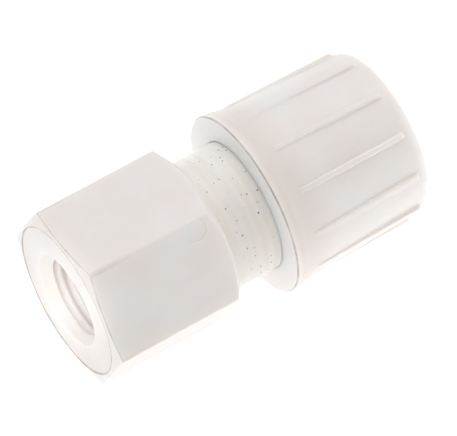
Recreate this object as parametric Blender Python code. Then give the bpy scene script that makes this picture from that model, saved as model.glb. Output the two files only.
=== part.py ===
"""Push fit coupling: a moulded plastic adapter with a hexagonal female port at one end and,
under a ribbed union nut at the other, a push-in socket for a 12 mm tube.

The axis of the fitting is +X. The port opens at the -X end and the tube goes in at the +X end.
The fitting lies on its side, so its axis is one nut radius above the ground at z = 0.
Stations and radii below are in millimetres. A station is measured along the axis from the port face.
"""
import math

import bmesh
import bpy
from mathutils import Matrix, Vector

MM = 0.001

OVERALL_LENGTH = 52.8
GAP = 0.3                      # left between two pieces that touch
ROUND_STEPS = 48               # facets round a turned piece

# Fitting body: hexagon, threaded neck and stepped bore
HEX_ACROSS_FLATS = 24.0
HEX_LENGTH = 21.2
HEX_FRONT_FACE_R = 11.4
HEX_FRONT_CHAMFER = 0.5
HEX_REAR_FACE_R = 11.4
HEX_REAR_CHAMFER = 1.7
NECK_THREAD_R = 9.85           # M20 x 1.5 outside, made plain here
BODY_LENGTH = 41.0
PORT_R = 5.75                  # G 1/4 inside, at the thread crests
PORT_MOUTH_R = 7.1
PORT_DEPTH = 13.0
WATERWAY_R = 4.0
TUBE_STOP = 19.5
SOCKET_R = 6.15
GLAND_R = 7.9
GLAND_START = 33.0

# Port seal washer
WASHER_R = (4.3, 5.45)
WASHER_THICKNESS = 1.7

# Tube O-ring
O_RING_SECTION_R = 1.0
O_RING_MEAN_R = 6.6
O_RING_STATION = 34.4

# Seal retainer: a sleeve that holds the O-ring back, with a flange dished for the grab ring's teeth
RETAINER_START = 35.8
RETAINER_SLEEVE_R = (6.3, 7.6)
RETAINER_FLANGE_R = 9.3
RETAINER_END = 42.4

# Grab ring: stainless steel, a flat rim and teeth that lean towards the port
GRAB_RIM_R = (8.2, 9.2)
GRAB_THICKNESS = 0.4
GRAB_STATION = 42.7
GRAB_TIP_R = 5.9
GRAB_LEAN = 1.5
GRAB_TEETH = 12
GRAB_TOOTH_SHARE = 0.62        # part of each tooth's pitch that is metal

# Release collet: a slotted sleeve with a snap lip and a push flange
COLLET_NOSE = 44.4
COLLET_SLEEVE_R = (6.2, 7.0)
COLLET_LIP = (45.3, 46.6)
COLLET_LIP_R = 8.1
COLLET_FLANGE_START = 51.3
COLLET_FLANGE_R = 8.8
COLLET_SLOTS = 6
COLLET_SLOT_WIDTH = 1.0
COLLET_SLOT_END = 48.6

# Union nut: drafted, with ribs for the fingers that stand out more towards the tube end
NUT_START = 29.2
NUT_RIM_R = 13.75
NUT_RIM_EDGE = 0.25
NUT_BAND_END = 31.6
NUT_BAND_R = 13.3
NUT_TAIL = 50.9
NUT_TAIL_R = 12.5
NUT_END_FACE_R = 10.9
NUT_MOUTH_R = 10.9
NUT_THREAD_R = 10.2            # clears the neck; the thread itself is not cut here
NUT_THREAD_END = 42.0
NUT_POCKET_R = 9.65
NUT_POCKET_END = 43.4
NUT_CHAMBER_R = 8.5
NUT_CHAMBER_END = 47.0
NUT_THROAT_R = 7.35
NUT_GUARD_START = 49.4
NUT_GUARD_R = 9.15
RIB_COUNT = 12
RIB_WIDTH = 1.1
RIB_ROOT_R = 11.3
RIB_FADE_IN = (32.8, 13.42)
RIB_FADE_OUT = (50.5, 13.12)


def clear_scene():
    for obj in list(bpy.data.objects):
        bpy.data.objects.remove(obj, do_unlink=True)


def make_material(name, colour, roughness, metallic=0.0, transmission=0.0):
    material = bpy.data.materials.new(name)
    material.use_nodes = True
    shader = material.node_tree.nodes["Principled BSDF"]
    shader.inputs["Base Color"].default_value = (*colour, 1.0)
    shader.inputs["Roughness"].default_value = roughness
    shader.inputs["Metallic"].default_value = metallic
    shader.inputs["Transmission Weight"].default_value = transmission
    return material


def make_axis_empty(name, station=0.0, parent=None):
    """An empty on the fitting's axis, at a station when it has no parent."""
    empty = bpy.data.objects.new(name, None)
    empty.empty_display_size = 5 * MM
    if parent is None:
        empty.location = ((station - OVERALL_LENGTH / 2) * MM, 0.0, NUT_RIM_R * MM)
    else:
        empty.parent = parent
        empty.location = (station * MM, 0.0, 0.0)
    bpy.context.collection.objects.link(empty)
    return empty


def object_from_bmesh(name, bm, material=None, parent=None, shift=0.0):
    """Closes a bmesh made in stations into an object whose origin is at station `shift`."""
    bmesh.ops.remove_doubles(bm, verts=bm.verts, dist=1e-7)
    bmesh.ops.translate(bm, verts=bm.verts, vec=(-shift * MM, 0.0, 0.0))
    bmesh.ops.recalc_face_normals(bm, faces=bm.faces)
    mesh = bpy.data.meshes.new(name)
    bm.to_mesh(mesh)
    bm.free()
    mesh.shade_smooth()
    mesh.set_sharp_from_angle(angle=math.radians(28))
    obj = bpy.data.objects.new(name, mesh)
    bpy.context.collection.objects.link(obj)
    if parent is not None:
        obj.parent = parent
    if material is not None:
        mesh.materials.append(material)
    return obj


def turned_bmesh(profile, steps=ROUND_STEPS):
    """Spins a closed outline of (station, radius) points once round the axis."""
    bm = bmesh.new()
    ring = [bm.verts.new((x * MM, 0.0, r * MM)) for x, r in profile]
    edges = [bm.edges.new((ring[i], ring[(i + 1) % len(ring)])) for i in range(len(ring))]
    bmesh.ops.spin(
        bm, geom=ring + edges, cent=(0, 0, 0), axis=(1, 0, 0),
        angle=math.tau, steps=steps, use_merge=True)
    return bm


def turned(name, profile, material=None, parent=None, shift=0.0, steps=ROUND_STEPS):
    return object_from_bmesh(name, turned_bmesh(profile, steps), material, parent, shift)


def solid_turned(name, profile, parent=None, shift=0.0, steps=ROUND_STEPS):
    """A turned piece with no hole: the outline's two ends are closed with flat discs."""
    bm = bmesh.new()
    verts = [bm.verts.new((x * MM, 0.0, r * MM)) for x, r in profile]
    edges = [bm.edges.new(pair) for pair in zip(verts, verts[1:])]
    bmesh.ops.spin(
        bm, geom=verts + edges, cent=(0, 0, 0), axis=(1, 0, 0),
        angle=math.tau, steps=steps, use_merge=True)
    bmesh.ops.remove_doubles(bm, verts=bm.verts, dist=1e-7)
    bmesh.ops.holes_fill(bm, edges=[e for e in bm.edges if e.is_boundary], sides=0)
    return object_from_bmesh(name, bm, None, parent, shift)


def add_box(bm, x_range, y_range, z_range, turn=0.0):
    """A box in station coordinates, turned about the axis by `turn` radians."""
    made = bmesh.ops.create_cube(bm, size=1.0)
    size = [(b - a) * MM for a, b in (x_range, y_range, z_range)]
    centre = [(a + b) / 2 * MM for a, b in (x_range, y_range, z_range)]
    place = Matrix.Rotation(turn, 4, "X") @ Matrix.Translation(centre) @ Matrix.Diagonal((*size, 1))
    bmesh.ops.transform(bm, matrix=place, verts=made["verts"])
    return made["verts"]


def hide_tool(obj):
    obj.hide_render = True
    obj.hide_set(True)
    obj.display_type = "WIRE"


def combine(obj, tool, operation):
    """Boolean `tool` into `obj` and keep the tool as a hidden guide."""
    modifier = obj.modifiers.new(tool.name, "BOOLEAN")
    modifier.operation = operation
    modifier.solver = "EXACT"
    modifier.object = tool
    hide_tool(tool)


def build_hexagon(material, parent):
    """The bar of hexagon that the body's turned shape is cut from, flats up and down."""
    bm = bmesh.new()
    corner_r = HEX_ACROSS_FLATS / math.sqrt(3)
    bmesh.ops.create_cone(
        bm, cap_ends=True, segments=6, radius1=corner_r * MM, radius2=corner_r * MM,
        depth=(HEX_LENGTH + 4) * MM)
    stand = Matrix.Rotation(math.radians(90), 4, "Y")
    centre = Matrix.Translation((HEX_LENGTH / 2 * MM, 0, 0))
    bmesh.ops.transform(bm, matrix=centre @ stand, verts=bm.verts)
    return object_from_bmesh("fitting_body", bm, material, parent)


def build_fitting_body(material, parent):
    body = build_hexagon(material, parent)
    corner_r = HEX_ACROSS_FLATS / math.sqrt(3)
    reach = 1.0                # the chamfer cones run this far past the corners
    front_slope = HEX_FRONT_CHAMFER / (corner_r - HEX_FRONT_FACE_R)
    rear_slope = HEX_REAR_CHAMFER / (corner_r - HEX_REAR_FACE_R)
    envelope = solid_turned("hexagon_chamfers", [
        (0.0, HEX_FRONT_FACE_R),
        (HEX_FRONT_CHAMFER + reach * front_slope, corner_r + reach),
        (HEX_LENGTH - HEX_REAR_CHAMFER - reach * rear_slope, corner_r + reach),
        (HEX_LENGTH, HEX_REAR_FACE_R)], parent, steps=96)
    combine(body, envelope, "INTERSECT")

    neck = solid_turned("threaded_neck", [
        (HEX_LENGTH - 6, NECK_THREAD_R - 1),
        (HEX_LENGTH - 5, NECK_THREAD_R),
        (BODY_LENGTH - 1.0, NECK_THREAD_R),
        (BODY_LENGTH, NECK_THREAD_R - 1.0)], parent)
    combine(body, neck, "UNION")

    bore = solid_turned("stepped_bore", [
        (-1.0, PORT_MOUTH_R + 1.0),
        (PORT_MOUTH_R - PORT_R, PORT_R),
        (PORT_DEPTH, PORT_R),
        (PORT_DEPTH, WATERWAY_R),
        (TUBE_STOP, WATERWAY_R),
        (TUBE_STOP, SOCKET_R),
        (GLAND_START, SOCKET_R),
        (GLAND_START, GLAND_R),
        (BODY_LENGTH + 1.0, GLAND_R)], parent)
    combine(body, bore, "DIFFERENCE")
    return body


def build_port_seal_washer(material, parent):
    end = PORT_DEPTH - GAP
    start = end - WASHER_THICKNESS
    inner, outer = WASHER_R
    return turned("port_seal_washer", [
        (start, inner), (start, outer), (end, outer), (end, inner)], material, parent)


def build_tube_o_ring(material, parent):
    section = []
    for i in range(12):
        angle = math.tau * (i + 0.5) / 12
        x = O_RING_STATION + O_RING_SECTION_R * math.cos(angle)
        r = O_RING_MEAN_R + O_RING_SECTION_R * math.sin(angle)
        section.append((x, r))
    return turned("tube_o_ring", section, material, parent)


def build_seal_retainer(material, parent):
    """The sleeve fits the gland behind the O-ring, and its flange rests on the body's end."""
    inner, outer = RETAINER_SLEEVE_R
    flange_start = BODY_LENGTH + GAP
    dish_r = GRAB_RIM_R[0] + 0.3
    return turned("seal_retainer", [
        (RETAINER_START, inner),
        (RETAINER_START, outer),
        (flange_start, outer),
        (flange_start, RETAINER_FLANGE_R),
        (RETAINER_END, RETAINER_FLANGE_R),
        (RETAINER_END, dish_r),
        (RETAINER_END - GRAB_LEAN - 0.4, inner)], material, parent)


def build_grab_ring(material, parent):
    """One pressed ring: rim and teeth come from a single strip of cells round the axis."""
    bm = bmesh.new()
    inner, outer = GRAB_RIM_R
    cells = GRAB_TEETH * 4
    metal_cells = round(GRAB_TOOTH_SHARE * 4)

    def ring_of(station, radius):
        return [
            bm.verts.new((station * MM,
                          radius * MM * math.cos(math.tau * i / cells),
                          radius * MM * math.sin(math.tau * i / cells)))
            for i in range(cells)]

    front, back = GRAB_STATION, GRAB_STATION + GRAB_THICKNESS
    rings = {
        "outer_front": ring_of(front, outer),
        "outer_back": ring_of(back, outer),
        "root_front": ring_of(front, inner),
        "root_back": ring_of(back, inner),
        "tip_front": ring_of(front - GRAB_LEAN, GRAB_TIP_R),
        "tip_back": ring_of(back - GRAB_LEAN, GRAB_TIP_R),
    }

    def strip(first, second, i):
        j = (i + 1) % cells
        bm.faces.new((rings[first][i], rings[first][j], rings[second][j], rings[second][i]))

    def side(i):
        names = ("root_front", "root_back", "tip_back", "tip_front")
        bm.faces.new([rings[name][i] for name in names])

    for i in range(cells):
        strip("outer_front", "outer_back", i)
        strip("outer_back", "root_back", i)
        strip("outer_front", "root_front", i)
        if i % 4 < metal_cells:
            strip("root_back", "tip_back", i)
            strip("root_front", "tip_front", i)
            strip("tip_front", "tip_back", i)
        else:
            strip("root_front", "root_back", i)
        if i % 4 == 0 or i % 4 == metal_cells:
            side(i)
    bmesh.ops.delete(bm, geom=[v for v in bm.verts if not v.link_faces], context="VERTS")
    return object_from_bmesh("grab_ring", bm, material, parent)


def build_release_collet(material, parent):
    inner, outer = COLLET_SLEEVE_R
    lip_start, lip_end = COLLET_LIP
    collet = turned("release_collet", [
        (COLLET_NOSE, inner),
        (COLLET_NOSE, inner + 0.4),
        (COLLET_NOSE + 0.4, outer),
        (lip_start, outer),
        (lip_start + 0.5, COLLET_LIP_R),
        (lip_end, COLLET_LIP_R),
        (lip_end, outer),
        (COLLET_FLANGE_START, outer),
        (COLLET_FLANGE_START, COLLET_FLANGE_R),
        (OVERALL_LENGTH - 0.4, COLLET_FLANGE_R),
        (OVERALL_LENGTH, COLLET_FLANGE_R - 0.4),
        (OVERALL_LENGTH, inner + 0.4),
        (OVERALL_LENGTH - 0.4, inner)], material, parent)
    bm = bmesh.new()
    for i in range(COLLET_SLOTS // 2):
        add_box(
            bm, (COLLET_NOSE - 1, COLLET_SLOT_END), (-10, 10),
            (-COLLET_SLOT_WIDTH / 2, COLLET_SLOT_WIDTH / 2),
            math.pi * (i + 0.5) / (COLLET_SLOTS // 2))
    slots = object_from_bmesh("collet_slots", bm, None, parent)
    cut = collet.modifiers.new("slots", "BOOLEAN")
    cut.operation = "DIFFERENCE"
    cut.solver = "EXACT"
    cut.use_self = True
    cut.object = slots
    hide_tool(slots)
    return collet


def nut_profile():
    """The nut's section: outside from the rim to the tube end, then back through the bore."""
    rim = [
        (NUT_START, NUT_RIM_R - NUT_RIM_EDGE),
        (NUT_START + NUT_RIM_EDGE, NUT_RIM_R),
        (NUT_START + 0.9, NUT_RIM_R - 0.05),
        (NUT_BAND_END, NUT_BAND_R)]
    rounding = []
    for i in range(5):
        angle = math.radians(90 * i / 4)
        rounding.append((
            NUT_TAIL + (OVERALL_LENGTH - NUT_TAIL) * math.sin(angle),
            NUT_END_FACE_R + (NUT_TAIL_R - NUT_END_FACE_R) * math.cos(angle)))
    inside = [
        (OVERALL_LENGTH, NUT_GUARD_R),
        (NUT_GUARD_START, NUT_GUARD_R),
        (NUT_GUARD_START, NUT_THROAT_R),
        (NUT_CHAMBER_END, NUT_THROAT_R),
        (NUT_CHAMBER_END, NUT_CHAMBER_R),
        (NUT_POCKET_END, NUT_CHAMBER_R),
        (NUT_POCKET_END, NUT_POCKET_R),
        (NUT_THREAD_END, NUT_POCKET_R),
        (NUT_THREAD_END, NUT_THREAD_R),
        (NUT_START + NUT_MOUTH_R - NUT_THREAD_R, NUT_THREAD_R),
        (NUT_START, NUT_MOUTH_R)]
    return rim + rounding + inside


def build_ribs(parent):
    """Twelve finger ribs on odd multiples of 15 degrees, each a bar sunk in the nut's wall."""
    bm = bmesh.new()
    (start, start_r), (end, end_r) = RIB_FADE_IN, RIB_FADE_OUT
    for i in range(RIB_COUNT):
        turn = math.radians(15) + math.tau * i / RIB_COUNT
        verts = add_box(bm, (start, end), (-RIB_WIDTH / 2, RIB_WIDTH / 2), (RIB_ROOT_R, start_r), turn)
        outward = Vector((0, -math.sin(turn), math.cos(turn)))
        for vert in verts:
            at_end = vert.co.x > (start + end) / 2 * MM
            on_top = vert.co.dot(outward) > (RIB_ROOT_R + start_r) / 2 * MM
            if at_end and on_top:
                vert.co -= outward * (start_r - end_r) * MM
    return object_from_bmesh("nut_ribs", bm, None, parent)


def build_union_nut(material, parent):
    nut = turned("union_nut", nut_profile(), material, parent)
    combine(nut, build_ribs(parent), "UNION")
    return nut


def main():
    clear_scene()
    white = make_material("natural_polymer", (0.83, 0.81, 0.79), 0.38, transmission=0.15)
    collet_white = make_material("collet_polymer", (0.86, 0.85, 0.83), 0.35)
    steel = make_material("stainless_steel", (0.62, 0.61, 0.6), 0.3, metallic=1.0)
    rubber = make_material("seal_rubber", (0.03, 0.03, 0.032), 0.6)
    silicone = make_material("washer_silicone", (0.78, 0.77, 0.75), 0.5)

    axis = make_axis_empty("coupling_axis")
    carriage = make_axis_empty("nut_carriage", parent=axis)

    build_fitting_body(white, axis)
    build_port_seal_washer(silicone, axis)
    build_tube_o_ring(rubber, axis)
    build_seal_retainer(collet_white, axis)
    build_grab_ring(steel, carriage)
    build_release_collet(collet_white, carriage)
    build_union_nut(white, carriage)


main()
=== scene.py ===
"""Looks of the push fit coupling: fine meshes, milky plastic, steel and rubber, studio light.

Every piece is modelled round the fitting's own axis. A station is the distance in millimetres
from the port face along that axis, and an angle turns from +Y towards +Z.
"""
import math

import bmesh
import bpy
import numpy as np
from mathutils import Matrix, Vector

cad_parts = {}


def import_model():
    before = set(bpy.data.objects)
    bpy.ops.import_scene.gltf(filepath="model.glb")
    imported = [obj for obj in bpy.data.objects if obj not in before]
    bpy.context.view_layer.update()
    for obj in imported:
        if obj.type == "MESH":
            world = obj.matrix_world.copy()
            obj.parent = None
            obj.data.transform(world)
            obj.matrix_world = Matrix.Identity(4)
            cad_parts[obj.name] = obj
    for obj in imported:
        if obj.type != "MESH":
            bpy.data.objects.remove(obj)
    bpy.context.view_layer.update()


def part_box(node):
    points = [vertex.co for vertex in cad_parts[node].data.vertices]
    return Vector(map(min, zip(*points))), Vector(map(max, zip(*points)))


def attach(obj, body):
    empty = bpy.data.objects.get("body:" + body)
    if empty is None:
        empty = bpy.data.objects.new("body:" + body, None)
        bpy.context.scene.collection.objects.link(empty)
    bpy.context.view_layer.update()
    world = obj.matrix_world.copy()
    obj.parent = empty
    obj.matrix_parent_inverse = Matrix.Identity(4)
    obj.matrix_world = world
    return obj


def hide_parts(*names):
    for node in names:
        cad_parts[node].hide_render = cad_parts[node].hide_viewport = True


MM = 0.001
TAU = math.tau

# Sizes in millimetres. They are the CAD model's, apart from the threads, the nut's end face and
# the gate's mark, which are finer here.
OVERALL_LENGTH = 52.8
GAP = 0.3
HEX_ACROSS_FLATS = 24.0
HEX_LENGTH = 21.2
HEX_CORNER_ROUNDING = 0.5
HEX_FRONT_FACE_R = 11.4
HEX_FRONT_CHAMFER = 0.5
HEX_REAR_FACE_R = 11.4
HEX_REAR_CHAMFER = 1.7
FACE_RECESS = 0.12
BODY_LENGTH = 41.0
NECK_R = 9.85
NECK_PITCH = 1.5
NECK_THREAD_DEPTH = 0.09
NUT_THREAD_CLEARANCE = 0.025
PORT_R = 5.75
PORT_PITCH = 1.337
PORT_THREAD_DEPTH = 0.38
PORT_MOUTH_R = 7.1
PORT_DEPTH = 13.0
WATERWAY_R = 4.0
TUBE_STOP = 19.5
SOCKET_R = 6.15
GLAND_R = 7.9
GLAND_START = 33.0
WASHER_R = (4.3, 5.45)
WASHER_THICKNESS = 1.7
O_RING_SECTION_R = 1.0
O_RING_MEAN_R = 6.6
O_RING_STATION = 34.4
RETAINER_START = 35.8
RETAINER_SLEEVE_R = (6.3, 7.6)
RETAINER_FLANGE_R = 9.3
RETAINER_END = 42.4
GRAB_RIM_R = (8.2, 9.2)
GRAB_THICKNESS = 0.4
GRAB_STATION = 42.7
GRAB_TIP_R = 5.9
GRAB_LEAN = 1.5
GRAB_TEETH = 12
COLLET_NOSE = 44.4
COLLET_SLEEVE_R = (6.2, 7.0)
COLLET_LIP = (45.3, 46.6)
COLLET_LIP_R = 8.1
COLLET_FLANGE_START = 51.3
COLLET_FLANGE_R = 8.8
COLLET_SLOTS = 6
COLLET_SLOT_WIDTH = 1.0
COLLET_SLOT_END = 48.6
NUT_START = 29.2
NUT_RIM_R = 13.75
NUT_RIM_FACE_R = 13.5
NUT_BAND_END = 31.6
NUT_BAND_R = 13.3
NUT_TAIL = 50.9
NUT_TAIL_R = 12.5
NUT_END_FACE_R = 10.6
NUT_FACE_R = 10.25             # on the flat front face, where the nut's outline begins and ends
NUT_THREAD_END = 42.0
NUT_RELIEF_R = 9.97
NUT_POCKET_R = 9.65
NUT_POCKET_END = 43.4
NUT_CHAMBER_R = 8.5
NUT_CHAMBER_END = 47.0
NUT_THROAT_R = 7.35
NUT_GUARD_START = 49.4
NUT_GUARD_R = 9.15
RIB_COUNT = 12
RIB_START = (32.8, 13.42)
RIB_END = (50.5, 13.12)
GATE_MARK = dict(station=17.0, from_corner=1.4, radius=1.9, depth=0.1)


# ---------------------------------------------------------------- small geometry tools

def smoothstep(low, high, value):
    t = np.clip((np.asarray(value, float) - low) / (high - low), 0.0, 1.0)
    return t * t * (3 - 2 * t)


def lerp(a, b, t):
    return a + (b - a) * t


def round_corners(points, radius, closed=True, steps=3):
    """Replaces each corner of an outline by a short curve that starts `radius` before it."""
    points = [np.array(p, float) for p in points]
    count = len(points)
    rounded = []
    for i, corner in enumerate(points):
        if not closed and i in (0, count - 1):
            rounded.append(tuple(corner))
            continue
        before, after = points[i - 1], points[(i + 1) % count]
        back, ahead = before - corner, after - corner
        back_len, ahead_len = np.linalg.norm(back), np.linalg.norm(ahead)
        start = corner + back * min(radius, 0.4 * back_len) / back_len
        end = corner + ahead * min(radius, 0.4 * ahead_len) / ahead_len
        for k in range(steps + 1):
            t = k / steps
            rounded.append(tuple((1 - t) ** 2 * start + 2 * t * (1 - t) * corner + t * t * end))
    return rounded


def sector_angles(sectors, offsets, first=0.0):
    """Angles in radians: each sector's centre line plus offsets in degrees on both sides of it."""
    both = sorted({-o for o in offsets} | set(offsets))
    width = 360.0 / sectors
    if both[-1] == width / 2:
        both = both[1:]
    return np.radians([first + i * width + o for i in range(sectors) for o in both])


def even_angles(count):
    return np.arange(count) * TAU / count


def ring(station, radius, angles):
    """One closed ring of points round the axis, in metres; both sizes may vary with angle."""
    station = np.broadcast_to(np.asarray(station, float), angles.shape)
    radius = np.broadcast_to(np.asarray(radius, float), angles.shape)
    return np.stack([station, radius * np.cos(angles), radius * np.sin(angles)], axis=1) * MM


def skin(name, rings):
    """A closed tube of quads over rings that run once round the piece's section."""
    count, sides = len(rings), len(rings[0])
    points = np.concatenate(rings)
    faces = []
    for i in range(count):
        here, there = i * sides, (i + 1) % count * sides
        for j in range(sides):
            k = (j + 1) % sides
            faces.append((here + j, here + k, there + k, there + j))
    mesh = bpy.data.meshes.new(name)
    mesh.from_pydata(points.tolist(), [], faces)
    return finish_mesh(name, mesh)


def finish_mesh(name, mesh):
    bm = bmesh.new()
    bm.from_mesh(mesh)
    bmesh.ops.recalc_face_normals(bm, faces=bm.faces)
    bm.to_mesh(mesh)
    bm.free()
    mesh.shade_smooth()
    obj = bpy.data.objects.new(name, mesh)
    bpy.context.collection.objects.link(obj)
    return obj


def turned(name, outline, rounding=0.12, sides=144):
    angles = even_angles(sides)
    return skin(name, [ring(x, r, angles) for x, r in round_corners(outline, rounding)])


def weight_normals(obj):
    """Large faces keep their own normals, so narrow rounded edges catch the light."""
    modifier = obj.modifiers.new("face_weighted_normals", "WEIGHTED_NORMAL")
    modifier.weight = 60
    modifier.keep_sharp = True


def cut(obj, tool):
    """Cuts the tool out of the piece and throws the tool away."""
    modifier = obj.modifiers.new("cut", "BOOLEAN")
    modifier.operation = "DIFFERENCE"
    modifier.solver = "EXACT"
    modifier.use_self = True
    modifier.object = tool
    graph = bpy.context.evaluated_depsgraph_get()
    mesh = bpy.data.meshes.new_from_object(obj.evaluated_get(graph))
    obj.modifiers.remove(modifier)
    obj.data = mesh
    bpy.data.objects.remove(tool, do_unlink=True)


def thread_groove(station, angles, pitch, narrow=0.12, wide=0.72):
    """1 in the root of a right-hand thread's groove and 0 on its crest, at one station."""
    turn = (station / pitch - angles / TAU) % 1.0
    return 1.0 - smoothstep(narrow, wide, np.abs(turn - 0.5) * 2)


# ---------------------------------------------------------------- fitting body

def hexagon_radius(angles):
    """Radius of a hexagon with rounded corners at 0, 60, 120 ... degrees."""
    half = HEX_ACROSS_FLATS / 2
    rounding = HEX_CORNER_ROUNDING
    from_corner = np.abs((angles + math.pi / 6) % (math.pi / 3) - math.pi / 6)
    flat = half / np.cos(math.pi / 6 - from_corner)
    centre = (half - rounding) / math.cos(math.pi / 6)
    arc = centre * np.cos(from_corner) + np.sqrt(
        np.maximum(rounding ** 2 - (centre * np.sin(from_corner)) ** 2, 0.0))
    tangent = math.pi / 6 - math.atan((half - rounding) * math.tan(math.pi / 6) / half)
    return np.where(from_corner < tangent, arc, flat)


def body_rings():
    angles = sector_angles(
        6, (0, 0.35, 0.7, 1.05, 1.5, 2.5, 5, 7.5, 10, 12.5, 15, 17.5, 20, 22.5, 25, 27.5, 30))
    hexagon = hexagon_radius(angles)
    corner_r = HEX_ACROSS_FLATS / math.sqrt(3)

    def front(radius):
        return HEX_FRONT_CHAMFER * (radius - HEX_FRONT_FACE_R) / (corner_r - HEX_FRONT_FACE_R)

    def rear(radius):
        rise = (radius - HEX_REAR_FACE_R) / (corner_r - HEX_REAR_FACE_R)
        return HEX_LENGTH - HEX_REAR_CHAMFER * rise

    face_step = round_corners([
        (FACE_RECESS, PORT_MOUTH_R), (FACE_RECESS, HEX_FRONT_FACE_R - 0.1),
        (0.0, HEX_FRONT_FACE_R), (front(HEX_FRONT_FACE_R + 0.3), HEX_FRONT_FACE_R + 0.3)],
        0.05, closed=False)
    rings = [ring(x, r, angles) for x, r in face_step]
    edge = 0.14
    rings.append(ring(front(hexagon - edge), hexagon - edge, angles))
    rings.append(ring(front(hexagon) + 0.04, hexagon - 0.03, angles))
    rings.append(ring(front(hexagon) + edge, hexagon, angles))
    for share in (0.25, 0.5, 0.75):
        rings.append(ring(lerp(front(hexagon), rear(hexagon), share), hexagon, angles))
    rings.append(ring(rear(hexagon) - edge, hexagon, angles))
    rings.append(ring(rear(hexagon) - 0.02, hexagon - 0.03, angles))
    rings.append(ring(rear(hexagon - edge), hexagon - edge, angles))

    shoulder = round_corners([
        (rear(HEX_REAR_FACE_R + 0.2), HEX_REAR_FACE_R + 0.2), (HEX_LENGTH, HEX_REAR_FACE_R),
        (HEX_LENGTH, NECK_R - 0.15), (HEX_LENGTH + 0.5, NECK_R - 0.15)], 0.25, closed=False)
    rings += [ring(x, r, angles) for x, r in shoulder]

    thread_start, thread_end = HEX_LENGTH + 0.5, BODY_LENGTH - 1.1
    for x in np.arange(thread_start + 0.1, thread_end, 0.11):
        rise = smoothstep(thread_start, thread_start + 0.8, x)
        groove = thread_groove(x, angles, NECK_PITCH)
        crest = lerp(NECK_R - 0.15, NECK_R, rise)
        rings.append(ring(x, crest - NECK_THREAD_DEPTH * groove * rise, angles))

    port_root = PORT_R + PORT_THREAD_DEPTH
    port_end = PORT_DEPTH - 1.3
    inside = round_corners([
        (thread_end, NECK_R - NECK_THREAD_DEPTH), (BODY_LENGTH, NECK_R - 1.1),
        (BODY_LENGTH, GLAND_R), (GLAND_START, GLAND_R), (GLAND_START, SOCKET_R),
        (TUBE_STOP, SOCKET_R), (TUBE_STOP, WATERWAY_R), (PORT_DEPTH, WATERWAY_R),
        (PORT_DEPTH, port_root), (port_end, port_root)], 0.15, closed=False)
    rings += [ring(x, r, angles) for x, r in inside]

    for x in np.arange(port_end - 0.1, FACE_RECESS + 0.01, -0.11):
        rise = smoothstep(port_end, port_end - 0.8, x)
        groove = thread_groove(x, angles, PORT_PITCH, 0.1, 0.8)
        thread = lerp(port_root, PORT_R + PORT_THREAD_DEPTH * groove, rise)
        mouth = PORT_MOUTH_R - (x - FACE_RECESS)
        rings.append(ring(x, np.maximum(thread, mouth), angles))
    return rings


def across_axis(degrees):
    return Vector((0, math.cos(math.radians(degrees)), math.sin(math.radians(degrees))))


def gate_centre():
    """Middle of the gate's mark, on the flat at 150 degrees beside its corner at 120."""
    corner = across_axis(120) * HEX_ACROSS_FLATS / math.sqrt(3)
    along_flat = across_axis(240) * GATE_MARK["from_corner"]
    return corner + along_flat + Vector((GATE_MARK["station"], 0, 0))


def make_gate_cutter():
    """A short round bar that presses the gate's mark into the flat beside one corner."""
    length, slope_out = 4.0, 0.8
    narrow = GATE_MARK["radius"] - 0.1
    normal = across_axis(150)
    centre = gate_centre() + normal * (length / 2 - GATE_MARK["depth"])
    bm = bmesh.new()
    bmesh.ops.create_cone(
        bm, cap_ends=True, segments=64, depth=length * MM,
        radius1=narrow * MM, radius2=(narrow + slope_out) * MM)
    place = Matrix.Translation(centre * MM) @ normal.to_track_quat("Z", "X").to_matrix().to_4x4()
    bmesh.ops.transform(bm, matrix=place, verts=bm.verts)
    mesh = bpy.data.meshes.new("gate_cutter")
    bm.to_mesh(mesh)
    bm.free()
    obj = bpy.data.objects.new("gate_cutter", mesh)
    bpy.context.collection.objects.link(obj)
    return obj


def make_body():
    body = skin("moulded_body", body_rings())
    cut(body, make_gate_cutter())
    body.data.shade_smooth()
    body.data.set_sharp_from_angle(angle=math.radians(50))
    weight_normals(body)
    return body


# ---------------------------------------------------------------- union nut

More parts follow.
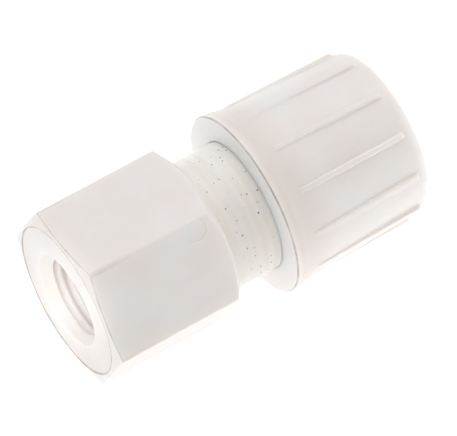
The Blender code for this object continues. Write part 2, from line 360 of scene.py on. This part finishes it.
def nut_rings():
    angles = sector_angles(
        RIB_COUNT, (0, 0.6, 1.1, 1.35, 1.6, 1.8, 2.0, 2.2, 2.5, 3.0, 4.5, 7.0, 10, 12.5, 15),
        first=15)
    off_rib = np.abs(np.degrees(angles) % 30 - 15)
    (rib_x0, rib_r0), (rib_x1, rib_r1) = RIB_START, RIB_END

    def wall(x):
        return lerp(NUT_BAND_R, NUT_TAIL_R, (x - NUT_BAND_END) / (NUT_TAIL - NUT_BAND_END))

    def ribbed(x):
        base = wall(x)
        top = lerp(rib_r0, rib_r1, (x - rib_x0) / (rib_x1 - rib_x0))
        across = np.radians(off_rib) * base
        shape = 1.0 - smoothstep(0.3, 0.5, across)
        ends = smoothstep(rib_x0, rib_x0 + 0.8, x)
        ends *= 1.0 - smoothstep(rib_x1 - 0.4, rib_x1 + 0.15, x)
        return base + np.maximum(top - base, 0.0) * shape * ends

    rim = round_corners([
        (NUT_START, NUT_FACE_R), (NUT_START, NUT_RIM_FACE_R), (NUT_START + 0.3, NUT_RIM_R),
        (NUT_START + 1.5, NUT_RIM_R - 0.06), (NUT_BAND_END, NUT_BAND_R + 0.12),
        (NUT_BAND_END + 1.0, wall(NUT_BAND_END + 1.0))], 0.16, closed=False, steps=4)
    rings = [ring(x, r, angles) for x, r in rim]
    stations = np.concatenate([
        np.arange(NUT_BAND_END + 1.3, rib_x1 - 0.7, 0.55),
        np.arange(rib_x1 - 0.6, NUT_TAIL - 0.15, 0.08)])
    rings += [ring(x, ribbed(x), angles) for x in stations]
    dome_steps = 8
    for i in range(dome_steps + 1):
        turn = math.radians(90 * i / dome_steps)
        rings.append(ring(
            lerp(NUT_TAIL, OVERALL_LENGTH, math.sin(turn)),
            lerp(NUT_END_FACE_R, NUT_TAIL_R, math.cos(turn)), angles))
    inside = round_corners([
        (OVERALL_LENGTH, NUT_END_FACE_R - 0.1), (OVERALL_LENGTH, NUT_GUARD_R),
        (NUT_GUARD_START, NUT_GUARD_R), (NUT_GUARD_START, NUT_THROAT_R),
        (NUT_CHAMBER_END, NUT_THROAT_R), (NUT_CHAMBER_END, NUT_CHAMBER_R),
        (NUT_POCKET_END, NUT_CHAMBER_R), (NUT_POCKET_END, NUT_POCKET_R),
        (NUT_THREAD_END + 0.2, NUT_POCKET_R), (NUT_THREAD_END, NUT_RELIEF_R),
        (NUT_THREAD_END - 0.1, NUT_RELIEF_R)], 0.15, closed=False)
    rings += [ring(x, r, angles) for x, r in inside]

    first, last = NUT_THREAD_END - 0.2, NUT_START + 0.3
    crest = NECK_R + NUT_THREAD_CLEARANCE
    for x in np.arange(first, last, -0.13):
        rise = smoothstep(first, first - 0.8, x) * smoothstep(last, last + 0.8, x)
        groove = thread_groove(x, angles, NECK_PITCH, 0.08, 0.56)
        rings.append(ring(x, crest - NECK_THREAD_DEPTH * groove * rise, angles))
    mouth = round_corners([
        (NUT_START + 0.2, crest), (NUT_START, crest), (NUT_START, NUT_FACE_R)],
        0.04, closed=False)
    rings += [ring(x, r, angles) for x, r in mouth[:-1]]
    return rings


def make_nut():
    nut = skin("ribbed_nut", nut_rings())
    weight_normals(nut)
    return nut


# ---------------------------------------------------------------- pieces inside

def make_washer():
    inner, outer = WASHER_R
    end = PORT_DEPTH - GAP
    start = end - WASHER_THICKNESS
    return turned("face_washer", [
        (start, inner), (start, outer), (end, outer), (end, inner)], 0.2)


def make_o_ring():
    angles = even_angles(144)
    return skin("sealing_ring", [
        ring(O_RING_STATION + O_RING_SECTION_R * math.cos(a),
             O_RING_MEAN_R + O_RING_SECTION_R * math.sin(a), angles) for a in even_angles(28)])


def make_retainer():
    """A sleeve behind the O-ring; its flange is dished for the grab ring's leaning teeth."""
    inner, outer = RETAINER_SLEEVE_R
    flange_start = BODY_LENGTH + GAP
    return turned("ring_retainer", [
        (RETAINER_START, inner), (RETAINER_START, outer), (flange_start, outer),
        (flange_start, RETAINER_FLANGE_R), (RETAINER_END, RETAINER_FLANGE_R),
        (RETAINER_END, GRAB_RIM_R[0] + 0.3), (RETAINER_END - GRAB_LEAN - 0.4, inner)])


def make_grab_ring():
    """Pressed from one strip: a flat rim and twelve teeth that taper and lean towards the port."""
    per_tooth, metal = 12, 7
    cells = GRAB_TEETH * per_tooth
    rim_inner, rim_outer = GRAB_RIM_R
    front, lean = GRAB_STATION, GRAB_LEAN
    index = np.arange(cells)
    angles = index * TAU / cells

    def tooth_angles(share):
        """Tooth edges draw in towards the tooth's middle as share goes from 0 at the root to 1."""
        place = index % per_tooth
        middle = metal / 2
        offset = np.where(place <= metal, (place - middle) * (1 - 0.28 * share) + middle, place)
        return (index - place + offset) * TAU / cells

    levels = [
        (rim_outer, front, angles), (rim_inner + 0.25, front, angles), (rim_inner, front, angles),
        (7.5, front - lean * 0.32, tooth_angles(0.3)),
        (6.7, front - lean * 0.68, tooth_angles(0.65)),
        (GRAB_TIP_R, front - lean, tooth_angles(1.0))]
    bm = bmesh.new()

    def layer(shift):
        return [[bm.verts.new(p) for p in ring(x + shift, r, a)] for r, x, a in levels]

    lower, upper = layer(0.0), layer(GRAB_THICKNESS)

    def quad(*corners):
        bm.faces.new(corners)

    for i in range(cells):
        j = (i + 1) % cells
        is_tooth = i % per_tooth < metal
        last = len(levels) - 1 if is_tooth else 2
        quad(lower[0][i], lower[0][j], upper[0][j], upper[0][i])
        for k in range(last):
            quad(lower[k][i], lower[k][j], lower[k + 1][j], lower[k + 1][i])
            quad(upper[k][i], upper[k][j], upper[k + 1][j], upper[k + 1][i])
        quad(lower[last][i], lower[last][j], upper[last][j], upper[last][i])
        if i % per_tooth in (0, metal):
            for k in range(2, len(levels) - 1):
                quad(lower[k][i], lower[k + 1][i], upper[k + 1][i], upper[k][i])
    loose = [v for v in bm.verts if not v.link_faces]
    bmesh.ops.delete(bm, geom=loose, context="VERTS")
    mesh = bpy.data.meshes.new("toothed_ring")
    bm.to_mesh(mesh)
    bm.free()
    ring_obj = finish_mesh("toothed_ring", mesh)
    mesh.set_sharp_from_angle(angle=math.radians(35))
    bevel = ring_obj.modifiers.new("pressed_edges", "BEVEL")
    bevel.width = 0.05 * MM
    bevel.segments = 2
    bevel.limit_method = "ANGLE"
    return ring_obj


def make_slots():
    """Bars across the axis, each of which cuts two of the collet's slots."""
    start = COLLET_NOSE - 1.0
    size = Matrix.Diagonal((
        (COLLET_SLOT_END - start) * MM, 20 * MM, COLLET_SLOT_WIDTH * MM, 1.0))
    shift = Matrix.Translation(((start + COLLET_SLOT_END) / 2 * MM, 0, 0))
    bars = COLLET_SLOTS // 2
    bm = bmesh.new()
    for i in range(bars):
        made = bmesh.ops.create_cube(bm, size=1.0)
        turn = Matrix.Rotation(math.pi * (i + 0.5) / bars, 4, "X")
        bmesh.ops.transform(bm, matrix=turn @ shift @ size, verts=made["verts"])
    mesh = bpy.data.meshes.new("slots")
    bm.to_mesh(mesh)
    bm.free()
    slots = bpy.data.objects.new("slots", mesh)
    bpy.context.collection.objects.link(slots)
    return slots


def make_collet():
    """A sleeve with a snap lip and a push flange, slotted so that its fingers can flex."""
    inner, outer = COLLET_SLEEVE_R
    lip_start, lip_end = COLLET_LIP
    collet = turned("push_collet", [
        (COLLET_NOSE, inner), (COLLET_NOSE, inner + 0.4), (COLLET_NOSE + 0.4, outer),
        (lip_start, outer), (lip_start + 0.5, COLLET_LIP_R), (lip_end, COLLET_LIP_R),
        (lip_end, outer), (COLLET_FLANGE_START, outer), (COLLET_FLANGE_START, COLLET_FLANGE_R),
        (OVERALL_LENGTH, COLLET_FLANGE_R), (OVERALL_LENGTH, inner + 0.55),
        (OVERALL_LENGTH - 0.55, inner)], 0.18)
    cut(collet, make_slots())
    collet.data.shade_smooth()
    collet.data.set_sharp_from_angle(angle=math.radians(40))
    return collet


# ---------------------------------------------------------------- materials

class Nodes:
    """Short names for the shader nodes that the materials use."""

    def __init__(self, name):
        self.material = bpy.data.materials.new(name)
        self.material.use_nodes = True
        self.tree = self.material.node_tree
        self.shader = self.tree.nodes["Principled BSDF"]

    def add(self, kind, **settings):
        node = self.tree.nodes.new(kind)
        for key, value in settings.items():
            setattr(node, key, value)
        return node

    def link(self, source, target):
        self.tree.links.new(source, target)

    def put(self, socket, value):
        if isinstance(value, bpy.types.NodeSocket):
            self.link(value, socket)
        else:
            socket.default_value = value

    def math(self, operation, first, second=0.0):
        node = self.add("ShaderNodeMath", operation=operation)
        self.put(node.inputs[0], first)
        self.put(node.inputs[1], second)
        return node.outputs[0]

    def ramp(self, value, low, high, to_low=0.0, to_high=1.0):
        """An eased step: to_low below low, to_high above high."""
        node = self.add("ShaderNodeMapRange", interpolation_type="SMOOTHSTEP")
        self.put(node.inputs["Value"], value)
        node.inputs["From Min"].default_value = low
        node.inputs["From Max"].default_value = high
        node.inputs["To Min"].default_value = to_low
        node.inputs["To Max"].default_value = to_high
        return node.outputs[0]

    def mix(self, share, first, second):
        node = self.add("ShaderNodeMix", data_type="RGBA")
        self.put(node.inputs[0], share)
        self.put(node.inputs[6], first)
        self.put(node.inputs[7], second)
        return node.outputs[2]

    def place(self):
        """Object coordinates, and the station and radius in metres."""
        point = self.add("ShaderNodeTexCoord").outputs["Object"]
        split = self.add("ShaderNodeSeparateXYZ")
        self.link(point, split.inputs[0])
        across = self.math("POWER", split.outputs["Y"], 2.0)
        up = self.math("POWER", split.outputs["Z"], 2.0)
        radius = self.math("SQRT", self.math("ADD", across, up))
        return point, split.outputs["X"], radius

    def noise(self, point, per_metre, detail=3.0, roughness=0.5):
        node = self.add("ShaderNodeTexNoise")
        self.link(point, node.inputs["Vector"])
        node.inputs["Scale"].default_value = per_metre
        node.inputs["Detail"].default_value = detail
        node.inputs["Roughness"].default_value = roughness
        return node.outputs["Fac"]

    def bump(self, height, distance, strength=1.0):
        node = self.add("ShaderNodeBump")
        node.inputs["Distance"].default_value = distance
        node.inputs["Strength"].default_value = strength
        self.link(height, node.inputs["Height"])
        self.link(node.outputs[0], self.shader.inputs["Normal"])

    def specks(self, point, per_metre, share, size):
        """Small dark spots: a few of the cells of a point pattern, each near its middle."""
        cell = self.add("ShaderNodeTexVoronoi")
        self.link(point, cell.inputs["Vector"])
        cell.inputs["Scale"].default_value = per_metre
        split = self.add("ShaderNodeSeparateColor")
        self.link(cell.outputs["Color"], split.inputs[0])
        chosen = self.math("LESS_THAN", split.outputs[0], share)
        darkness = self.ramp(split.outputs[1], 0.0, 1.0, 0.2, 1.0)
        near = self.ramp(cell.outputs["Distance"], size * 0.5, size, 1.0, 0.0)
        return self.math("MULTIPLY", self.math("MULTIPLY", chosen, darkness), near)

    def seam(self, station, radius, at_station, at_radius, width):
        """1 on the circle at that station and radius in millimetres, fading out over the width."""
        along = self.math("POWER", self.math("SUBTRACT", station, at_station * MM), 2.0)
        out = self.math("POWER", self.math("SUBTRACT", radius, at_radius * MM), 2.0)
        away = self.math("SQRT", self.math("ADD", along, out))
        return self.ramp(away, width * 0.35 * MM, width * MM, 1.0, 0.0)


# Dark colour of painted shade lines along edges and creases, of darker lines along the hexagon's
# corners, and of the dirt and painted shade line round the nut's rim.
LINE_SHADE_AND_DIRT = (0.2, 0.175, 0.16, 1.0)
SPECK = (0.07, 0.06, 0.055, 1.0)
# Warm painted shade tint of the neck between the hexagon and the nut.
NECK_SHADE_TINT = (0.94, 0.885, 0.82, 1.0)
# Painted light on the gate's mark.
GATE_PAINTED_LIGHT = (0.97, 0.935, 0.915, 1.0)
# Painted shade behind the nut's rim.
RIM_SHADE = (0.85, 0.785, 0.74, 1.0)
# Painted shade on the ribs' tops.
RIB_TOP_SHADE = (0.82, 0.78, 0.76, 1.0)
# Painted light on the nut's front face.
NUT_FACE_LIGHT = (0.985, 0.98, 0.975, 1.0)


def hexagon_edge_shade_and_corner_lines(n, station, radius):
    """Painted shade just behind the hexagon's front edge, and darker lines along its corners near
    the port.
    """
    slope = HEX_FRONT_CHAMFER / (HEX_ACROSS_FLATS / math.sqrt(3) - HEX_FRONT_FACE_R)
    chamfer = n.math("MULTIPLY", n.math("SUBTRACT", radius, HEX_FRONT_FACE_R * MM), slope)
    behind = n.math("SUBTRACT", station, chamfer)
    # Painted shade in a thin band just behind the front edge.
    edge = n.math("MULTIPLY", n.ramp(behind, 0.0, 0.06 * MM),
                  n.ramp(behind, 0.08 * MM, 0.26 * MM, 1.0, 0.0))
    off_face = n.ramp(radius, 11.7 * MM, 11.9 * MM)
    edge = n.math("MULTIPLY", n.math("MULTIPLY", edge, off_face), 0.42)
    # Darker lines along the corners, strongest near the port.
    corner = n.math("MULTIPLY", n.ramp(radius, 13.58 * MM, 13.72 * MM),
                    n.ramp(station, 1.0 * MM, 9.0 * MM, 0.22, 0.03))
    return n.math("MAXIMUM", edge, corner)


def gate_mark_painted_light(n, point, colour):
    """Painted light: the gate's round mark is a little paler than the flat it is pressed into."""
    away = n.add("ShaderNodeVectorMath", operation="DISTANCE")
    n.link(point, away.inputs[0])
    away.inputs[1].default_value = gate_centre() * MM
    edge = GATE_MARK["radius"]
    gate = n.ramp(away.outputs["Value"], (edge - 0.25) * MM, (edge - 0.05) * MM, 0.5, 0.0)
    return n.mix(gate, colour, GATE_PAINTED_LIGHT)


def neck_shade_tint_and_dust(n, point, station, colour):
    """The neck between the hexagon and the nut gets a warm painted shade tint, with dark specks of
    dust.
    """
    low, high, fade = 21.6, 31.0, 0.8
    zone = n.math("MULTIPLY", n.ramp(station, (low - fade) * MM, low * MM),
                  n.ramp(station, high * MM, (high + fade) * MM, 1.0, 0.0))
    fine = n.math("MULTIPLY", n.specks(point, 1250.0, 0.45, 0.21), zone)
    # Warm painted shade tint over the neck.
    colour = n.mix(n.math("MULTIPLY", zone, 0.6), colour, NECK_SHADE_TINT)
    return n.mix(n.math("MULTIPLY", fine, 0.9), colour, SPECK)


def nut_painted_light_and_shade(n, station, radius, colour):
    """Painted shade behind the nut's rim and on the ribs' tops, and painted light that makes the
    front face paler.
    """
    start = NUT_START
    # Painted shade just behind the rim, fading out along the nut.
    rim_shade = n.math("MULTIPLY", n.ramp(station, (start + 0.3) * MM, (start + 1.3) * MM),
                   n.ramp(station, (start + 1.3) * MM, (start + 8.5) * MM, 0.85, 0.0))
    colour = n.mix(rim_shade, colour, RIM_SHADE)
    taper = (NUT_BAND_R - NUT_TAIL_R) / (NUT_TAIL - NUT_BAND_END)
    height = n.math("ADD", radius, n.math("MULTIPLY", station, taper))
    wall = (NUT_BAND_R + taper * NUT_BAND_END) * MM
    # Painted shade that darkens the ribs' tops.
    rib_top_shade = n.math("MULTIPLY", n.ramp(height, wall + 0.1 * MM, wall + 0.3 * MM),
                 n.ramp(station, 33.0 * MM, 35.0 * MM, 0.0, 0.5))
    colour = n.mix(rib_top_shade, colour, RIB_TOP_SHADE)
    # Painted light that makes the nut's front face paler.
    face = n.ramp(station, (start + 0.02) * MM, (start + 0.1) * MM, 0.9, 0.0)
    return n.mix(face, colour, NUT_FACE_LIGHT)


def moulded_polymer(name, tint, shade_and_dirt_circles, is_body):
    """Natural milky plastic: translucent, satin, faintly clouded, with dark lines of painted shade
    and dirt at its edges.

    Each dark line is a circle: station, radius, width, amount of painted shade and dirt.
    """
    n = Nodes(name)
    point, station, radius = n.place()
    clouds = n.noise(point, 130.0, 4.0, 0.55)
    pale = tuple(min(1.0, c * 1.012) for c in tint[:3]) + (1.0,)
    deep = tuple(c * w for c, w in zip(tint[:3], (0.985, 0.975, 0.965))) + (1.0,)
    colour = n.mix(n.ramp(clouds, 0.3, 0.7), deep, pale)

    # Painted shade along edges and creases, darker lines along the hexagon's corners and a line of
    # dirt and painted shade round the nut's rim, as one dark mask.
    shade_and_dirt = hexagon_edge_shade_and_corner_lines(n, station, radius) if is_body else 0.0
    for at_station, at_radius, width, amount in shade_and_dirt_circles:
        line = n.math("MULTIPLY", n.seam(station, radius, at_station, at_radius, width), amount)
        shade_and_dirt = n.math("MAXIMUM", line, shade_and_dirt)
    broken = n.ramp(n.noise(point, 420.0, 3.0, 0.6), 0.3, 0.7, 0.45, 1.0)
    shade_and_dirt = n.math("MULTIPLY", shade_and_dirt, broken)
    if is_body:
        colour = n.mix(shade_and_dirt, gate_mark_painted_light(n, point, colour), LINE_SHADE_AND_DIRT)
        colour = neck_shade_tint_and_dust(n, point, station, colour)
    else:
        # Nut: its dark line of dirt and painted shade at the rim, then its painted shade and
        # painted light.
        colour = nut_painted_light_and_shade(n, station, radius, n.mix(shade_and_dirt, colour, LINE_SHADE_AND_DIRT))
    sparse = n.specks(point, 330.0, 0.035, 0.075)
    colour = n.mix(n.math("MULTIPLY", sparse, 0.8), colour, (0.1, 0.09, 0.08, 1.0))
    n.link(colour, n.shader.inputs["Base Color"])

    skin_noise = n.noise(point, 5200.0, 5.0, 0.6)
    n.link(n.ramp(skin_noise, 0.3, 0.7, 0.33, 0.45), n.shader.inputs["Roughness"])
    n.bump(skin_noise, 0.012 * MM, 0.35)
    n.shader.inputs["IOR"].default_value = 1.42
    n.shader.inputs["Subsurface Weight"].default_value = 1.0
    n.shader.inputs["Subsurface Radius"].default_value = (1.0, 0.86, 0.74)
    n.shader.inputs["Subsurface Scale"].default_value = 1.0 * MM
    return n.material


def plain_polymer(name, tint, roughness):
    """Opaque moulded plastic or silicone, faintly clouded and grained."""
    n = Nodes(name)
    point, _, _ = n.place()
    clouds = n.noise(point, 260.0, 4.0)
    deep = tuple(c * 0.95 for c in tint[:3]) + (1.0,)
    n.link(n.mix(n.ramp(clouds, 0.3, 0.7), deep, tint), n.shader.inputs["Base Color"])
    grain = n.noise(point, 6000.0, 4.0)
    n.link(n.ramp(grain, 0.3, 0.7, roughness - 0.05, roughness + 0.06),
           n.shader.inputs["Roughness"])
    n.bump(grain, 0.01 * MM, 0.3)
    n.shader.inputs["Subsurface Weight"].default_value = 0.4
    n.shader.inputs["Subsurface Scale"].default_value = 0.8 * MM
    return n.material


def spring_steel():
    n = Nodes("rolled_stainless")
    point, _, _ = n.place()
    streaks = n.noise(point, 2500.0, 6.0, 0.7)
    colour = n.mix(streaks, (0.5, 0.49, 0.48, 1.0), (0.72, 0.71, 0.7, 1.0))
    n.link(colour, n.shader.inputs["Base Color"])
    n.link(n.ramp(streaks, 0.3, 0.7, 0.2, 0.34), n.shader.inputs["Roughness"])
    n.bump(streaks, 0.008 * MM, 0.3)
    n.shader.inputs["Metallic"].default_value = 1.0
    return n.material


def seal_rubber():
    n = Nodes("black_seal_rubber")
    point, _, _ = n.place()
    dust = n.noise(point, 1800.0, 5.0, 0.65)
    n.link(n.mix(n.ramp(dust, 0.45, 0.8), (0.018, 0.018, 0.019, 1.0), (0.06, 0.058, 0.055, 1.0)),
           n.shader.inputs["Base Color"])
    n.link(n.ramp(dust, 0.3, 0.7, 0.42, 0.6), n.shader.inputs["Roughness"])
    n.bump(dust, 0.01 * MM, 0.4)
    return n.material


# ---------------------------------------------------------------- stage, light and camera

FLOOR_GLOW = 0.5
WORLD_GLOW = 0.45
CAMERA_AIM = Vector((0.0, -0.5, 13.4)) * MM
CAMERA_AZIMUTH = 331.07
CAMERA_ELEVATION = 50.52
CAMERA_ROLL = -5.32
CAMERA_DISTANCE = 1111.7 * MM
CAMERA_LENS = 630.2


def make_floor():
    bm = bmesh.new()
    bmesh.ops.create_grid(bm, x_segments=1, y_segments=1, size=3.0)
    mesh = bpy.data.meshes.new("white_table")
    bm.to_mesh(mesh)
    bm.free()
    floor = bpy.data.objects.new("white_table", mesh)
    bpy.context.collection.objects.link(floor)
    n = Nodes("bright_table")
    n.shader.inputs["Base Color"].default_value = (0.93, 0.93, 0.93, 1.0)
    n.shader.inputs["Roughness"].default_value = 0.7
    n.shader.inputs["Emission Color"].default_value = (1.0, 1.0, 1.0, 1.0)
    n.shader.inputs["Emission Strength"].default_value = FLOOR_GLOW
    mesh.materials.append(n.material)


def make_world():
    world = bpy.data.worlds.new("studio")
    world.use_nodes = True
    background = world.node_tree.nodes["Background"]
    background.inputs["Color"].default_value = (1.0, 1.0, 1.0, 1.0)
    background.inputs["Strength"].default_value = WORLD_GLOW
    bpy.context.scene.world = world


def make_spot(name, direction, aim, cone, watts, distance=0.4):
    """A soft-edged round light that looks at one place, in millimetres, from a direction."""
    lamp = bpy.data.lights.new(name, "SPOT")
    lamp.spot_size = math.radians(cone)
    lamp.spot_blend = 1.0
    lamp.shadow_soft_size = 4 * MM
    lamp.energy = watts
    obj = bpy.data.objects.new(name, lamp)
    towards = Vector(direction).normalized()
    obj.location = towards * distance + Vector(aim) * MM
    obj.rotation_euler = (-towards).to_track_quat("-Z", "Y").to_euler()
    bpy.context.collection.objects.link(obj)


def make_softbox(name, direction, size, watts, distance=0.45, aim=(0.0, 0.0, 14.0)):
    """A square light that looks at a place, in millimetres, from a direction."""
    lamp = bpy.data.lights.new(name, "AREA")
    lamp.shape = "SQUARE"
    lamp.size = size
    lamp.energy = watts
    obj = bpy.data.objects.new(name, lamp)
    towards = Vector(direction).normalized()
    obj.location = towards * distance + Vector(aim) * MM
    obj.rotation_euler = (-towards).to_track_quat("-Z", "Y").to_euler()
    bpy.context.collection.objects.link(obj)


def make_camera():
    camera = bpy.data.cameras.new("camera")
    camera.lens = CAMERA_LENS
    camera.sensor_width = 36.0
    camera.clip_start = 0.05
    camera.clip_end = 20.0
    obj = bpy.data.objects.new("camera", camera)
    azimuth, elevation = math.radians(CAMERA_AZIMUTH), math.radians(CAMERA_ELEVATION)
    back = Vector((
        math.sin(azimuth) * math.cos(elevation),
        -math.cos(azimuth) * math.cos(elevation),
        math.sin(elevation)))
    level = (-back).to_track_quat("-Z", "Y").to_matrix().to_4x4()
    roll = Matrix.Rotation(math.radians(CAMERA_ROLL), 4, "Z")
    obj.matrix_world = Matrix.Translation(CAMERA_AIM + back * CAMERA_DISTANCE) @ level @ roll
    bpy.context.collection.objects.link(obj)
    bpy.context.scene.camera = obj


# ---------------------------------------------------------------- putting it together

def install(obj, node, body, material, origin):
    """Stands a finished piece in its CAD node's place and lets it move with its body."""
    obj.location = origin
    obj.data.materials.clear()
    obj.data.materials.append(material)
    bpy.context.view_layer.update()
    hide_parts(node)
    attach(obj, body)


def main():
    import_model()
    nut_low, nut_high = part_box("union_nut")
    body_low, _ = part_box("fitting_body")
    origin = Vector((body_low[0], 0.0, (nut_low[2] + nut_high[2]) / 2))

    milky = (0.93, 0.879, 0.857, 1.0)
    # Painted shade lines at the step round the front face and in the crease where the hexagon
    # meets the neck.
    body_plastic = moulded_polymer("milky_polymer_body", milky, [
        (0.0, HEX_FRONT_FACE_R, 0.2, 0.7), (HEX_LENGTH, NECK_R, 0.4, 0.2)], True)
    # A dark line of dirt and painted shade round the nut's rim edge.
    nut_plastic = moulded_polymer("milky_polymer_nut", milky, [
        (NUT_START + 0.12, NUT_RIM_R - 0.12, 0.24, 0.62)], False)
    white_plastic = plain_polymer("white_acetal", (0.84, 0.83, 0.81, 1.0), 0.36)
    silicone = plain_polymer("washer_silicone", (0.78, 0.77, 0.74, 1.0), 0.55)

    install(make_body(), "fitting_body", "fitting", body_plastic, origin)
    install(make_washer(), "port_seal_washer", "fitting", silicone, origin)
    install(make_o_ring(), "tube_o_ring", "fitting", seal_rubber(), origin)
    install(make_retainer(), "seal_retainer", "fitting", white_plastic, origin)
    install(make_grab_ring(), "grab_ring", "grip_carriage", spring_steel(),
            origin)
    install(make_collet(), "release_collet", "collet", white_plastic, origin)
    install(make_nut(), "union_nut", "nut", nut_plastic, origin)

    make_floor()
    make_world()
    make_softbox("light_port_side", direction=(-1.0, -0.15, 0.8), size=0.5, watts=0.1)
    make_softbox("light_above", direction=(0.1, 0.35, 0.95), size=0.5, watts=1.05)
    make_softbox("light_nut_end", direction=(0.75, -0.6, 0.3), size=0.06, watts=0.0125,
                 distance=0.09, aim=(20.0, 0.0, 14.0))
    make_spot("light_into_port", direction=(-0.55, -0.48, 0.68), aim=(-25.0, 1.0, 12.0),
              cone=2.5, watts=3.3)
    make_camera()
    bpy.context.scene.view_settings.view_transform = "Standard"


main()
